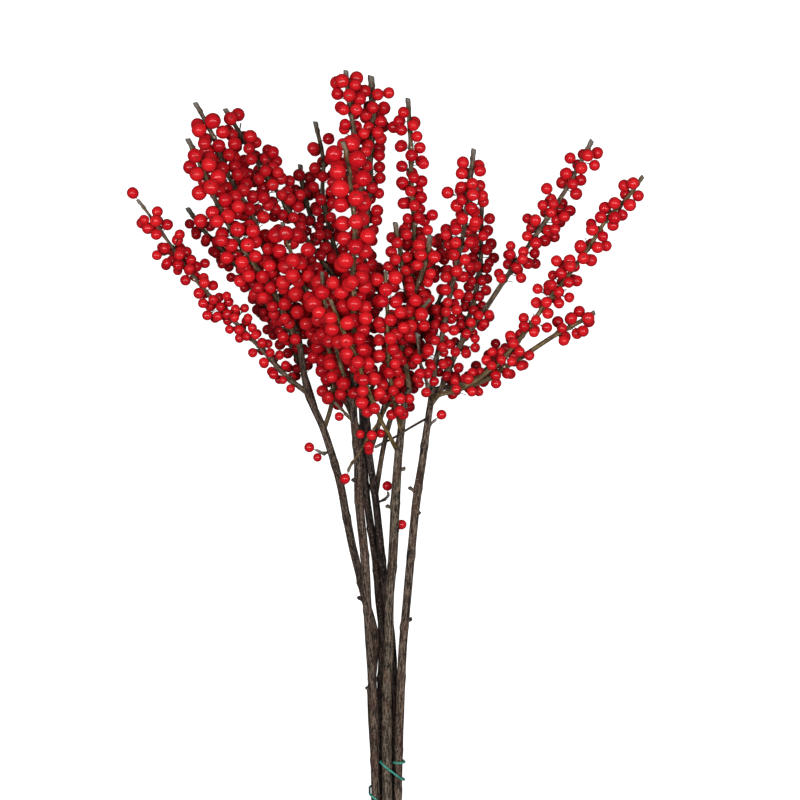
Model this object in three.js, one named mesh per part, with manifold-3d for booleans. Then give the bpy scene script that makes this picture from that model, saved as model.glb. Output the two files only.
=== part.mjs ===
// A bunch of winterberry holly: six cut branches, bare of leaves, tied with twine and laid on a table.
// Millimetres. +Y runs from the cut ends to the tips, +Z is up, and the table is z = 0.

import * as THREE from 'three';
import { mergeVertices } from 'three/addons/utils/BufferGeometryUtils.js';
import Module from 'manifold-3d';

const wasm = await Module();
wasm.setup();

// ---- Driving dimensions ----

const berryRadius = 4.4;
const berrySpread = 0.16; // how much the berries of one spray differ in size
const berryFoot = 0.78; // size at the foot of a shoot, as a share of that at its tip
const facetBulge = 1.06; // lets a faceted berry fill the round one
const sameCorner = 0.01; // corners nearer than this are one
const stalkLength = 1.3; // the typical one: they run from half to one and a half times this
const stalkShortest = 0.5;
const stalkLean = 0.5; // how far a stalk may lean towards the tip
const tipRootDepth = 0.8; // of the stalk that carries on from a twig's end

const nodePitch = 8; // from one group of berries to the next
const pitchSpread = 1.1;
const groupLength = 7; // of the twig that one group spreads over
const groupFewest = 2; // berries in a group
const groupRange = 4.4;
const groupTurn = 2.4; // between neighbouring groups, radians
const groupSpread = 1.3; // between the berries of one group, radians
const placeAttempts = 8; // turns that a berry tries, a radian apart
const shootMost = 400; // berries
const tipBare = 8; // length of twig past the last group
const tipShare = 0.25; // the most of a short spur that is bare at its tip
const lastShare = 0.995; // of a shoot's length, the furthest root of a stalk
const forkBare = 7;
const firstSeed = 100;
const seedStep = 37; // from one shoot to the next
const keepEvery = 4; // this many berries of the real bunch stand for one here

const twigSides = 5;
const twigStep = 24;
const stemSides = 7;
const stemStep = 34;

const pathStep = 5; // between the marks that a berry's distance to the wood is measured from
const meetingGap = 0.3; // between pieces that touch
const sprayGap = 0.6; // between berries of different sprays
const settleReach = 1.5; // a berry this near the table rests on it
const settledHeight = 0.84; // of its radius, so that it stands on a small flat spot
const berryGap = 0.1; // between berries of one spray

const twineRadius = 0.8;
const twineSides = 6;
const twineGap = 0.5; // from the stems, as the twine's facets cut across its bends
const twineTop = -175.5;
const twineFall = 0.58; // along the stems, for each length that it runs across them
const twineFallSwing = 0.38; // it falls faster over the top of the stems than under them
const twineStep = 3; // longest straight length of it
const twineStepsPerTurn = 24;
const sectionStep = 0.002; // of a stem's length

const tableSize = 900;
const tableDepth = 60;

// ---- The branches ----
// A stem is last year's grey wood. Its route starts at the cut end, and its radii are given along the route.
// A spray is this year's shoot with its berries, and may fork. Its route starts on its stem.

const branches = {
  left: {
    route: [[-7.2, -300, 3], [-8.8, -188, 14.6], [-11, -130, 29.5], [-8.4, -88, 37.5], [-15, -59, 42.5],
      [-20.6, -35, 46], [-24, -21, 48], [-28, 0, 51], [-32.7, 25, 55], [-42.8, 59, 60], [-53.6, 85, 64],
      [-58.6, 117, 71], [-60.4, 127, 74]],
    radii: [3.2, 2.9, 2.9, 2.8, 2.1],
    spurs: [[[-31.5, 21, 54.8], [-27, 24, 56]], [[-14, -63, 42], [-19.5, -57, 45.5]]],
    sprays: {
      outer: {
        route: [[-53, 84, 64], [-69, 97, 68], [-84, 114, 72], [-115, 146, 78], [-132, 166, 81],
          [-155, 199, 85], [-166, 214, 88]],
        bare: 16,
        scale: 0.9,
        tipBerry: true,
        radii: [1.9, 0.9],
      },
      upper: {
        route: [[-58.6, 116, 71], [-64, 128, 77.5], [-76, 154, 90], [-93, 178, 100], [-109, 206, 111],
          [-122, 237, 118], [-128, 249, 121]],
        bare: 10,
        scale: 1.18,
      },
      leader: {
        route: [[-60.6, 128, 74.2], [-66, 142, 75], [-73, 158, 77], [-83, 184, 80], [-91, 206, 83],
          [-105, 229, 86], [-115, 255, 89], [-127, 278, 92]],
        bare: 8,
        scale: 1.16,
      },
      lower: {
        route: [[-58, 114, 70], [-65, 126, 66], [-76, 140, 62], [-86, 151, 57], [-101, 170, 51],
          [-119, 189, 47], [-129, 200, 45], [-139, 214, 43]],
        bare: 8,
        scale: 0.88,
      },
      front: {
        route: [[-42.8, 60, 60], [-38, 75, 63], [-36.3, 87, 68], [-37.3, 107, 76], [-43, 130, 86],
          [-53, 153, 98], [-61, 173, 108], [-67, 195, 118]],
        bare: 24,
        scale: 1.2,
        radii: [1.7, 1.1],
      },
      resting: {
        route: [[-48, 72, 61], [-57, 97, 45], [-68, 119, 30], [-82, 139, 18], [-93, 155, 12],
          [-100, 165, 10.6]],
        bare: 32,
        scale: 0.95,
      },
      spur: {
        route: [[-39, 45, 58.7], [-43, 43.5, 60.5], [-48.5, 45.8, 62]],
        bare: 5,
        radii: [0.8, 0.6],
        tipBerry: true,
        scale: 0.8,
        most: 2,
      },
    },
  },

  front: {
    route: [[-7, -300, 11.2], [-8.2, -188, 28.2], [-9.6, -130, 37], [-12.2, -87, 44], [-13.5, -58, 53],
      [-14.6, -30, 64], [-18.4, 12, 76], [-19, 40, 84], [-21.3, 67, 92], [-21.8, 84, 98], [-21, 97, 103]],
    radii: [2.9, 2.8, 3.1, 3, 3.1, 2.3],
    spurs: [[[-18.4, 24, 79.5], [-22.6, 27, 80.5]], [[-10, -125, 38], [-14, -121, 39]],
      [[-21.5, 76, 95], [-26, 82, 99]]],
    sprays: {
      leader: {
        route: [[-20.9, 99, 103.8], [-20.6, 113, 112], [-20, 144, 132], [-20.3, 162, 143], [-18.7, 186, 157],
          [-21, 209, 168], [-22.4, 226, 175], [-25.3, 237, 179]],
        radii: [1.9, 1.2],
        bare: 4,
        pitch: 7.6,
        scale: 1.28,
      },
      filling: {
        route: [[-21.5, 79, 96], [-28.6, 100, 108], [-34, 122, 118], [-39, 144, 126], [-40.6, 162, 131]],
        bare: 6,
        scale: 1.2,
        radii: [1.5, 1],
      },
      twiglet: {
        route: [[-21, 64, 91], [-27, 71, 90], [-34.5, 78.5, 88.5]],
        radii: [0.9, 0.7],
        bare: 8,
        tipBerry: true,
        scale: 0.85,
        most: 2,
      },
    },
  },

  backLeft: {
    route: [[-0.4, -300, 2.9], [-4.8, -188, 20.5], [-4.3, -130, 29], [-3, -88, 33.5], [-5.6, -59, 37],
      [-7.8, -32, 40], [-13.7, 10, 44], [-15.8, 38, 46], [-16.4, 52, 47], [-17.8, 80, 48], [-20.4, 97, 50]],
    radii: [3.1, 2.9, 2.8, 2.7, 2],
    spurs: [],
    sprays: {
      leader: {
        route: [[-20.6, 98.5, 50.2], [-24, 115, 50], [-28.8, 135, 50], [-33.6, 160, 52], [-41, 171, 53],
          [-57.4, 194, 57], [-71, 217, 61], [-89, 244, 66], [-109.5, 278, 71]],
        bare: 10,
        scale: 1.04,
      },
      rear: {
        route: [[-18.8, 88, 48.5], [-22, 104, 42], [-24.4, 116, 38], [-29.3, 157, 34], [-36.4, 186, 34],
          [-44.7, 220, 37], [-44.5, 248, 41], [-49.8, 274, 46]],
        bare: 12,
        forks: [[[-36.2, 184, 34], [-45, 195, 30], [-53, 208, 29], [-59.4, 229, 27], [-61.6, 247, 26]]],
        scale: 0.98,
      },
      resting: {
        route: [[-16.2, 48, 46.8], [-21, 62, 38], [-29.5, 80, 30], [-42, 109, 17], [-54, 134, 11.6],
          [-60, 156, 10.6], [-62.5, 167, 10.6]],
        bare: 38,
        scale: 0.98,
      },
      hidden: {
        route: [[-17, 62, 47.5], [-18, 80, 40], [-18, 100, 34], [-15.5, 130, 26], [-11, 158, 22],
          [-10.6, 178, 22]],
        bare: 34,
        scale: 0.95,
      },
    },
  },

  backRight: {
    route: [[6.2, -300, 2.8], [6.4, -188, 20.5], [5.2, -130, 29], [3.4, -88, 36], [-0.6, -59, 42.5],
      [-3.2, -31, 46.5], [-7.6, 11, 52], [-11.4, 39, 56], [-12.7, 52, 58], [-13.9, 80, 62], [-15.2, 98, 64]],
    radii: [3, 2.8, 2.8, 2.7, 2],
    spurs: [],
    sprays: {
      leader: {
        route: [[-15.3, 99.5, 64.1], [-17.9, 128, 66], [-17.2, 155, 69], [-15.7, 178, 72], [-11.6, 222, 77],
          [-10.9, 242, 80], [-8.8, 268, 83], [-10, 297, 86]],
        bare: 12,
        forks: [[[-12.6, 211, 76], [-16, 220, 82], [-18.8, 231, 88], [-22.4, 265, 98], [-24.9, 281, 101],
          [-26.2, 297, 103]]],
        scale: 1.02,
        radii: [2.3, 2],
      },
      olive: {
        route: [[-14, 82, 62.3], [-7.7, 92, 70], [-1.4, 103.5, 80], [4, 116.6, 92], [10.7, 126, 103],
          [19.8, 136, 113], [28.7, 144.6, 122]],
        bare: 22,
        radii: [1.6, 0.9],
      },
      rear: {
        route: [[-11.8, 43, 56.7], [-4.6, 66, 48], [5.8, 101, 42], [12.9, 129, 41], [19.8, 150, 41],
          [31.7, 173.5, 43], [42.7, 193, 46], [47.6, 202, 47]],
        bare: 40,
        scale: 0.95,
      },
      resting: {
        route: [[-7.8, 13, 52], [-1.2, 52, 36], [9.3, 87, 24], [22.2, 119.5, 14], [34.6, 145, 11],
          [41, 161, 10.6]],
        bare: 70,
        scale: 0.98,
      },
      spur: {
        route: [[-6.7, 9, 52.5], [-1.5, 11.5, 56], [1.2, 14.5, 58], [1, 16.5, 58.6]],
        radii: [0.9, 0.7],
        bare: 12,
        tipBerry: true,
        scale: 0.78,
        most: 1,
      },
    },
  },

  centre: {
    route: [[0.4, -300, 11.6], [0.3, -188, 28.4], [0, -130, 37.5], [1.4, -94, 45], [2, -58, 52],
            [4.2, -30, 60],
      [6.2, 12, 70], [8, 39.5, 77], [9.3, 53, 80], [12.7, 80, 84], [16, 88, 84.5]],
    radii: [3.8, 3.6, 3.5, 3.3, 3.3, 2.2],
    spurs: [[[7.5, 32, 74.5], [13, 33.5, 75]], [[5.8, 5, 68.5], [0.2, 8.5, 70]]],
    sprays: {
      leader: {
        route: [[15.5, 87, 84.4], [13, 103, 84], [10.7, 120, 85], [15.3, 143.5, 87], [17.3, 173, 90],
          [18.7, 196, 93], [16.7, 226, 96], [16.6, 245, 98], [14.6, 279, 101]],
        bare: 8,
        forks: [
          [[15.6, 147, 87.2], [11.3, 163, 96], [10, 175.5, 102], [6, 196, 110]],
          [[15.8, 149, 87.3], [21.2, 157, 100], [26.9, 173, 110], [28.8, 187, 116]],
        ],
        scale: 0.98,
      },
      olive: {
        route: [[6.5, 47.5, 80], [1.4, 58, 95], [-3.8, 68, 106], [-13, 91, 124], [-17.6, 104, 131],
          [-26.8, 124.4, 140], [-34.7, 143.5, 146]],
        bare: 46,
        scale: 1.05,
        radii: [1.5, 0.9],
      },
      hanging: {
        route: [[11.5, 79, 86], [2.7, 78, 88], [-4, 66.7, 91], [-10.6, 57, 96], [-17, 45.6, 99],
          [-22.4, 38.4, 100], [-25, 32.5, 100]],
        radii: [1, 0.7],
        bare: 32,
        pitch: 10,
        tipBerry: true,
        scale: 0.8,
        most: 5,
      },
      inner: {
        route: [[9.8, 59, 81.5], [5.5, 80, 97], [2, 100, 107], [1.5, 113, 113], [1, 138, 125], [0, 162, 133]],
        bare: 20,
        scale: 1.05,
        radii: [1.4, 0.9],
      },
      spur: {
        route: [[5.5, -12, 64], [7.5, -11, 61.5], [8.3, -9.5, 60.8]],
        radii: [0.8, 0.6],
        bare: 9,
        tipBerry: true,
        scale: 0.78,
        most: 1,
      },
    },
  },

  right: {
    route: [[7.7, -300, 11], [8.2, -188, 28], [9.7, -130, 38], [11.1, -94, 44], [14.2, -58, 49],
            [16.6, -30, 54],
      [20.6, 11, 60], [24.7, 39, 63], [28.4, 66, 66], [30.5, 80, 67], [31.8, 90, 68]],
    radii: [2.7, 2.6, 3, 3, 3, 2.2],
    spurs: [[[19.8, 3, 59], [22.8, 2, 61]], [[21.2, 15, 60.5], [15.8, 20.5, 62]], [[12.8, -75, 46.5],
            [17.5, -72, 48]]],
    sprays: {
      leader: {
        route: [[31.9, 91.5, 68.1], [33.8, 107, 71], [37, 120, 75], [41.6, 144, 81], [47.3, 172, 89],
          [50.6, 186, 93], [53.6, 209, 98], [56.7, 235, 103], [58, 245, 105]],
        bare: 14,
        forks: [[[53.6, 208, 97.8], [57, 214, 101], [60.6, 219, 104]]],
      },
      wide: {
        route: [[30.2, 77, 66.9], [37, 87, 65], [42, 99.5, 64], [52.4, 121, 65], [66, 140, 67],
          [79.4, 160, 69],
          [99.6, 189, 72], [112.8, 209, 75], [124.2, 227, 77], [138.6, 255, 80]],
        bare: 20,
        forks: [[[51.4, 119, 64.9], [56.2, 135, 57], [60.6, 149, 52], [63.5, 163.4, 48], [65.7, 181, 45],
          [65.8, 199, 43], [66.7, 218, 41]]],
        scale: 0.96,
        gaps: [[74, 99], [124, 132], [164, 176], [182, 189]],
        radii: [2, 1.4],
      },
      outer: {
        route: [[30.8, 81, 69], [37, 84, 76], [51, 88, 83], [69.4, 100, 88], [84.5, 115, 92], [104, 141, 96],
          [117, 158, 99], [134.5, 182, 102], [146, 200, 104], [157, 211, 106], [168.5, 226.5, 108]],
        bare: 20,
        forks: [[[50.5, 88, 82.8], [60, 91, 80], [70, 95.5, 78], [90.6, 108.4, 74], [114.4, 124, 74],
          [134.4, 134.8, 76], [141, 139.5, 77]]],
        scale: 0.95,
        gaps: [[40, 50], [77, 87], [96, 103]],
        forkPitch: 11,
        forkGaps: [[55, 77]],
        radii: [1.8, 1.2],
      },
      inner: {
        route: [[30, 82, 68], [26.9, 93.5, 78], [23.3, 103.3, 88], [21.9, 113, 96], [20.5, 124, 103]],
        bare: 10,
        scale: 0.95,
        radii: [1.3, 0.9],
      },
      crossing: {
        route: [[28.4, 68, 67], [20, 63.5, 78], [12, 59, 87], [4, 54, 82], [-3, 50.5, 80],
          [-7.5, 48.3, 79.5]],
        radii: [0.9, 0.7],
        bare: 70,
        tipBerry: true,
        scale: 0.76,
        most: 1,
      },
      resting: {
        route: [[28.5, 67, 65.5], [33, 86, 45], [48, 90, 30], [66.5, 98.5, 18], [85, 114.6, 12],
          [98, 128, 10.6]],
        bare: 44,
        scale: 0.95,
      },
      spur: {
        route: [[28, 61, 65.7], [31, 64.5, 67], [34, 67, 67.5]],
        radii: [0.8, 0.6],
        bare: 9,
        tipBerry: true,
        scale: 0.78,
        most: 1,
      },
    },
  },
};

const twigRadii = [1.9, 1.4];
const spurRadii = [1.2, 0.9];

// ---- Colours ----

const bark = { color: 0x4c433b, roughness: 0.85 };
const berryRed = { color: 0xc4101a, roughness: 0.25 };
const twineGreen = { color: 0x3f8f78, roughness: 0.6 };

// ---- Helpers ----

function makeRandom(seed) {
  let state = seed;
  return () => {
    state = (state * 16807) % 2147483647;
    return state / 2147483647;
  };
}

function makeCurve(points) {
  return new THREE.CatmullRomCurve3(points.map((p) => new THREE.Vector3(...p)), false, 'catmullrom', 0.5);
}

// A value read along a list that is spread evenly over 0 to 1.
function along(values, t) {
  const place = Math.min(t, 0.999999) * (values.length - 1);
  const index = Math.floor(place);
  return THREE.MathUtils.lerp(values[index], values[index + 1], place - index);
}

// Tangent, side and rise of a curve, with the side kept level.
function frameAt(curve, t) {
  const tangent = curve.getTangentAt(t);
  const side = new THREE.Vector3().crossVectors(new THREE.Vector3(0, 0, 1), tangent).normalize();
  const rise = new THREE.Vector3().crossVectors(tangent, side);
  return { tangent, side, rise };
}

function toSolid(geometry) {
  geometry.deleteAttribute('normal');
  geometry.deleteAttribute('uv');
  const merged = mergeVertices(geometry);
  const vertProperties = new Float32Array(merged.attributes.position.array);
  const triVerts = new Uint32Array(merged.index.array);
  return new wasm.Manifold(new wasm.Mesh({ numProp: 3, vertProperties, triVerts }));
}

function toGeometry(solid) {
  const mesh = solid.getMesh();
  const geometry = new THREE.BufferGeometry();
  geometry.setAttribute('position', new THREE.BufferAttribute(mesh.vertProperties, 3));
  geometry.setIndex(new THREE.BufferAttribute(mesh.triVerts, 1));
  geometry.computeVertexNormals();
  return geometry;
}

// A round branch: a closed cylinder bent along a route, with its radius changing on the way.
function branchGeometry(points, radii, sides, step, extra = 0) {
  const curve = makeCurve(points);
  const steps = Math.max(2, Math.round(curve.getLength() / step));
  const geometry = new THREE.CylinderGeometry(1, 1, 1, sides, steps);
  const position = geometry.attributes.position;
  for (let i = 0; i < position.count; i += 1) {
    const t = position.getY(i) + 0.5;
    const { side, rise } = frameAt(curve, t);
    const radius = along(radii, t) + extra;
    const point = curve.getPointAt(t);
    point.addScaledVector(side, position.getX(i) * radius);
    point.addScaledVector(rise, -position.getZ(i) * radius);
    position.setXYZ(i, point.x, point.y, point.z);
  }
  return geometry;
}

// ---- Berries ----

// Short straight lengths of a branch, for measuring how close a berry comes to it.
function pathOf(points, radii) {
  const curve = makeCurve(points);
  const count = Math.max(2, Math.round(curve.getLength() / pathStep));
  const path = [];
  for (let i = 0; i <= count; i += 1) {
    const t = i / count;
    path.push({ point: curve.getPointAt(t), radius: along(radii, t) });
  }
  return path;
}

function distanceToPath(point, path) {
  let nearest = Infinity;
  for (let i = 1; i < path.length; i += 1) {
    const line = new THREE.Line3(path[i - 1].point, path[i].point);
    const foot = line.closestPointToPoint(point, true, new THREE.Vector3());
    nearest = Math.min(nearest, foot.distanceTo(point) - path[i].radius);
  }
  return nearest;
}

function isClear(berry, berries, paths) {
  const free = berries.every((other) => {
    const gap = other.spray === berry.spray ? berryGap : sprayGap;
    return other.centre.distanceTo(berry.centre) > other.radius + berry.radius + gap;
  });
  return free && paths.every((path) => distanceToPath(berry.centre, path) > berry.radius + meetingGap);
}

// Adds a berry on a stalk that leaves the twig one way, unless something is in its place.
function placeBerry(spray, root, way, twigReach, stalk, radius, berries, paths) {
  const centre = root.clone().addScaledVector(way, twigReach + stalk + radius);
  const sunk = centre.z < radius - settleReach;
  const settled = centre.z < radius + settleReach;
  if (settled) {
    centre.z = radius * settledHeight;
  }
  const berry = { spray, root, way, radius, centre, settled };
  const placed = !sunk && isClear(berry, berries, paths);
  if (placed) {
    berries.push(berry);
  }
  return placed;
}

function berrySize(spray, t) {
  return berryRadius * (spray.scale ?? 1) * THREE.MathUtils.lerp(berryFoot, 1, t);
}

// A place along a shoot, or the end of the bare length that it falls in.
function pastGaps(reach, gaps) {
  const gap = gaps.find(([from, to]) => reach > from && reach < to);
  return gap ? gap[1] : reach;
}

// Groups of berries sit on short stalks, each group turned on from the last.
function growBerries(spray, shoot, seed, berries, paths) {
  const random = makeRandom(seed);
  const curve = makeCurve(shoot.route);
  const length = curve.getLength();
  const radii = spray.radii ?? twigRadii;
  let left = spray.most ?? shootMost;
  if (spray.tipBerry) {
    const way = curve.getTangentAt(1);
    const root = curve.getPointAt(1).addScaledVector(way, -tipRootDepth);
    placeBerry(spray, root, way, tipRootDepth, stalkLength, berrySize(spray, 1), berries, paths);
    left -= 1;
  }
  const last = length - Math.min(tipBare, tipShare * length);
  let group = 0;
  let reach = pastGaps(shoot.bare, shoot.gaps);
  while (left > 0 && reach < last) {
    const count = groupFewest + Math.floor(random() * groupRange);
    const turn = group * groupTurn + random();
    group += 1;
    for (let k = 0; k < count; k += 1) {
      const grown = 1 - berrySpread / 2 + berrySpread * random();
      const t = Math.min(lastShare, Math.max(0, (reach + groupLength * (random() - 0.5)) / length));
      const radius = grown * berrySize(spray, t);
      const stalk = stalkLength * (stalkShortest + random());
      const lean = stalkLean * random();
      const { tangent, side, rise } = frameAt(curve, t);
      let placed = false;
      for (let attempt = 0; attempt < placeAttempts && !placed && left > 0; attempt += 1) {
        const angle = turn + (k - (count - 1) / 2) * groupSpread + attempt;
        const way = side.clone().multiplyScalar(Math.cos(angle));
        way.addScaledVector(rise, Math.sin(angle)).addScaledVector(tangent, lean).normalize();
        const root = curve.getPointAt(t);
        placed = placeBerry(spray, root, way, along(radii, t), stalk, radius, berries, paths);
      }
      left -= placed ? 1 : 0;
    }
    reach = pastGaps(reach + shoot.pitch * (1 - pitchSpread / 2 + pitchSpread * random()), shoot.gaps);
  }
}

// A berry of twenty facets whose lowest corner is drawn down its stalk into the twig.
function berryGeometry(berry) {
  const geometry = new THREE.IcosahedronGeometry(berry.radius * facetBulge, 0);
  const position = geometry.attributes.position;
  const corner = new THREE.Vector3().fromBufferAttribute(position, 0);
  const down = berry.way.clone().negate();
  const turn = new THREE.Quaternion().setFromUnitVectors(corner.clone().normalize(), down);
  for (let i = 0; i < position.count; i += 1) {
    const vertex = new THREE.Vector3().fromBufferAttribute(position, i);
    const isRoot = vertex.distanceTo(corner) < sameCorner;
    vertex.applyQuaternion(turn).add(berry.centre);
    if (isRoot) {
      vertex.copy(berry.root);
    }
    position.setXYZ(i, vertex.x, vertex.y, vertex.z);
  }
  return geometry;
}

// ---- Stems ----

const table = new THREE.BoxGeometry(tableSize, tableSize, tableDepth).translate(0, 0, -tableDepth / 2);
const tableSolid = toSolid(table);

function stemSolid(branch, extra = 0) {
  let solid = toSolid(branchGeometry(branch.route, branch.radii, stemSides, stemStep, extra));
  for (const spur of branch.spurs) {
    solid = solid.add(toSolid(branchGeometry(spur, spurRadii, twigSides, twigStep, extra)));
  }
  return solid;
}

function largestBody(solid) {
  const bodies = solid.decompose();
  bodies.sort((a, b) => b.volume() - a.volume());
  return bodies[0];
}

// ---- Sprays ----

function spraySolid(spray, berries, stems) {
  const radii = spray.radii ?? twigRadii;
  let solid = toSolid(branchGeometry(spray.route, radii, twigSides, twigStep));
  for (const fork of spray.forks ?? []) {
    solid = solid.add(toSolid(branchGeometry(fork, twigRadii, twigSides, twigStep)));
  }
  const own = berries.filter((berry) => berry.spray === spray);
  own.forEach((berry, index) => {
    if (index % keepEvery === 0 || index === own.length - 1 || berry.settled) {
      solid = solid.add(toSolid(berryGeometry(berry)));
    }
  });
  return largestBody(solid.subtract(stems).subtract(tableSolid));
}

// ---- Twine ----

// Where the stems are, in section, at one place along the bunch.
function sectionAt(y) {
  const section = {};
  for (const [name, branch] of Object.entries(branches)) {
    const curve = makeCurve(branch.route);
    let t = 0;
    while (curve.getPointAt(t).y < y) {
      t += sectionStep;
    }
    const point = curve.getPointAt(t);
    section[name] = { x: point.x, z: point.z, radius: along(branch.radii, t) };
  }
  return section;
}

// The twine runs over the outermost of the stems that it holds, seen from each angle round them.
function twinePoint(angle, y, held) {
  const section = sectionAt(y);
  const reach = (stem) => stem.x * Math.cos(angle) + stem.z * Math.sin(angle) + stem.radius;
  const stems = held.map((name) => section[name]);
  const stem = stems.reduce((best, next) => (reach(next) > reach(best) ? next : best));
  const distance = stem.radius + twineGap + twineRadius;
  return new THREE.Vector3(
    stem.x + distance * Math.cos(angle),
    y,
    stem.z + distance * Math.sin(angle),
  );
}

// Each turn takes in more of the stems. The top end is tucked beside the right one, and the first
// half turn lies level.
function twineGeometry() {
  const turns = [
    { held: ['right', 'backRight'], from: 0.42, to: -0.15 },
    { held: ['right', 'backRight', 'centre'], from: -0.15, to: -1.15 },
    { held: Object.keys(branches), from: -1.15, to: -3.1 },
  ];
  const levelTurns = -0.5;
  const points = [];
  let y = twineTop;
  for (const { held, from, to } of turns) {
    const steps = Math.round((from - to) * twineStepsPerTurn);
    for (let i = 0; i < steps; i += 1) {
      const turn = THREE.MathUtils.lerp(from, to, i / steps);
      const angle = turn * 2 * Math.PI;
      if (turn < levelTurns) {
        const fall = twineFall * (1 + twineFallSwing * Math.sin(angle));
        y -= fall * Math.abs(twinePoint(angle, y, held).x - points[points.length - 1].x);
      }
      points.push(twinePoint(angle, y, held));
    }
  }
  const even = [points[0]];
  for (const point of points.slice(1)) {
    const last = even[even.length - 1];
    const pieces = Math.round(point.distanceTo(last) / twineStep);
    for (let k = 1; k <= pieces; k += 1) {
      even.push(last.clone().lerp(point, k / pieces));
    }
  }
  const curve = new THREE.CatmullRomCurve3(even);
  const outline = new THREE.Shape();
  outline.absarc(0, 0, twineRadius, 0, 2 * Math.PI);
  const steps = even.length;
  return new THREE.ExtrudeGeometry(outline, { steps, curveSegments: twineSides / 2, extrudePath: curve });
}

// ---- The bunch ----

const bunch = new THREE.Group();

function addPiece(name, geometry, look) {
  const mesh = new THREE.Mesh(geometry, new THREE.MeshStandardMaterial({ metalness: 0, ...look }));
  mesh.name = name;
  bunch.add(mesh);
}

const paths = [];
for (const branch of Object.values(branches)) {
  paths.push(pathOf(branch.route, branch.radii));
  for (const spray of Object.values(branch.sprays)) {
    paths.push(pathOf(spray.route, spray.radii ?? twigRadii));
    for (const fork of spray.forks ?? []) {
      paths.push(pathOf(fork, twigRadii));
    }
  }
}

const berries = [];
let seed = firstSeed;
for (const branch of Object.values(branches)) {
  for (const spray of Object.values(branch.sprays)) {
    const pitch = spray.pitch ?? nodePitch;
    const leader = { route: spray.route, bare: spray.bare, pitch, gaps: spray.gaps ?? [] };
    const forks = (spray.forks ?? []).map((route) => (
      { route, bare: forkBare, pitch: spray.forkPitch ?? pitch, gaps: spray.forkGaps ?? [] }
    ));
    for (const shoot of [leader, ...forks]) {
      seed += seedStep;
      growBerries(spray, shoot, seed, berries, paths);
    }
  }
}

let clearance = tableSolid;
for (const branch of Object.values(branches)) {
  clearance = clearance.add(stemSolid(branch, meetingGap));
}

for (const [name, branch] of Object.entries(branches)) {
  addPiece(`stem_${name}`, toGeometry(largestBody(stemSolid(branch).subtract(tableSolid))), bark);
  for (const [kind, spray] of Object.entries(branch.sprays)) {
    addPiece(`spray_${name}_${kind}`, toGeometry(spraySolid(spray, berries, clearance)), berryRed);
  }
}
addPiece('twine_tie', twineGeometry(), twineGreen);

export default bunch;
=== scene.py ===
# Dresses the bunch of winterberry holly: bark, shoots, berries on their stalks, and the green twine.

import math

import bmesh
import bpy
import numpy as np
from mathutils import Matrix, Vector, noise


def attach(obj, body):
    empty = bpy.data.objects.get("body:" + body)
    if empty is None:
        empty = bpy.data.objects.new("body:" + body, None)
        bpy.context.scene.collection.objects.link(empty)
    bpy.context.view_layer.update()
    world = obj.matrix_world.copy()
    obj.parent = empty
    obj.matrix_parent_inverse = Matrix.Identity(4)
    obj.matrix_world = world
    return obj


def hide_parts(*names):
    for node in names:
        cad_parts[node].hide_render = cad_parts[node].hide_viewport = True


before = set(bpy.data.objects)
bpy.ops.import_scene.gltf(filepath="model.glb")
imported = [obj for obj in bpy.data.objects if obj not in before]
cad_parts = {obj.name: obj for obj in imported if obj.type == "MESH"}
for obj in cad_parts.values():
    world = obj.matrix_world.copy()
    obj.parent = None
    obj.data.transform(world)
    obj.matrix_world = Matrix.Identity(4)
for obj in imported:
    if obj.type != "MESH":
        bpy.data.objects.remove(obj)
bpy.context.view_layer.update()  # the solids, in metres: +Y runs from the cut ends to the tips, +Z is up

# A stem is last year's grey wood, and its route starts at the cut end. A spray is a shoot of this year
# with its berries, and starts on its stem. Radii are given along the route, and bare is the length of
# a shoot before its first berries. Lengths are in millimetres here, and in metres from here on.

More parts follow.
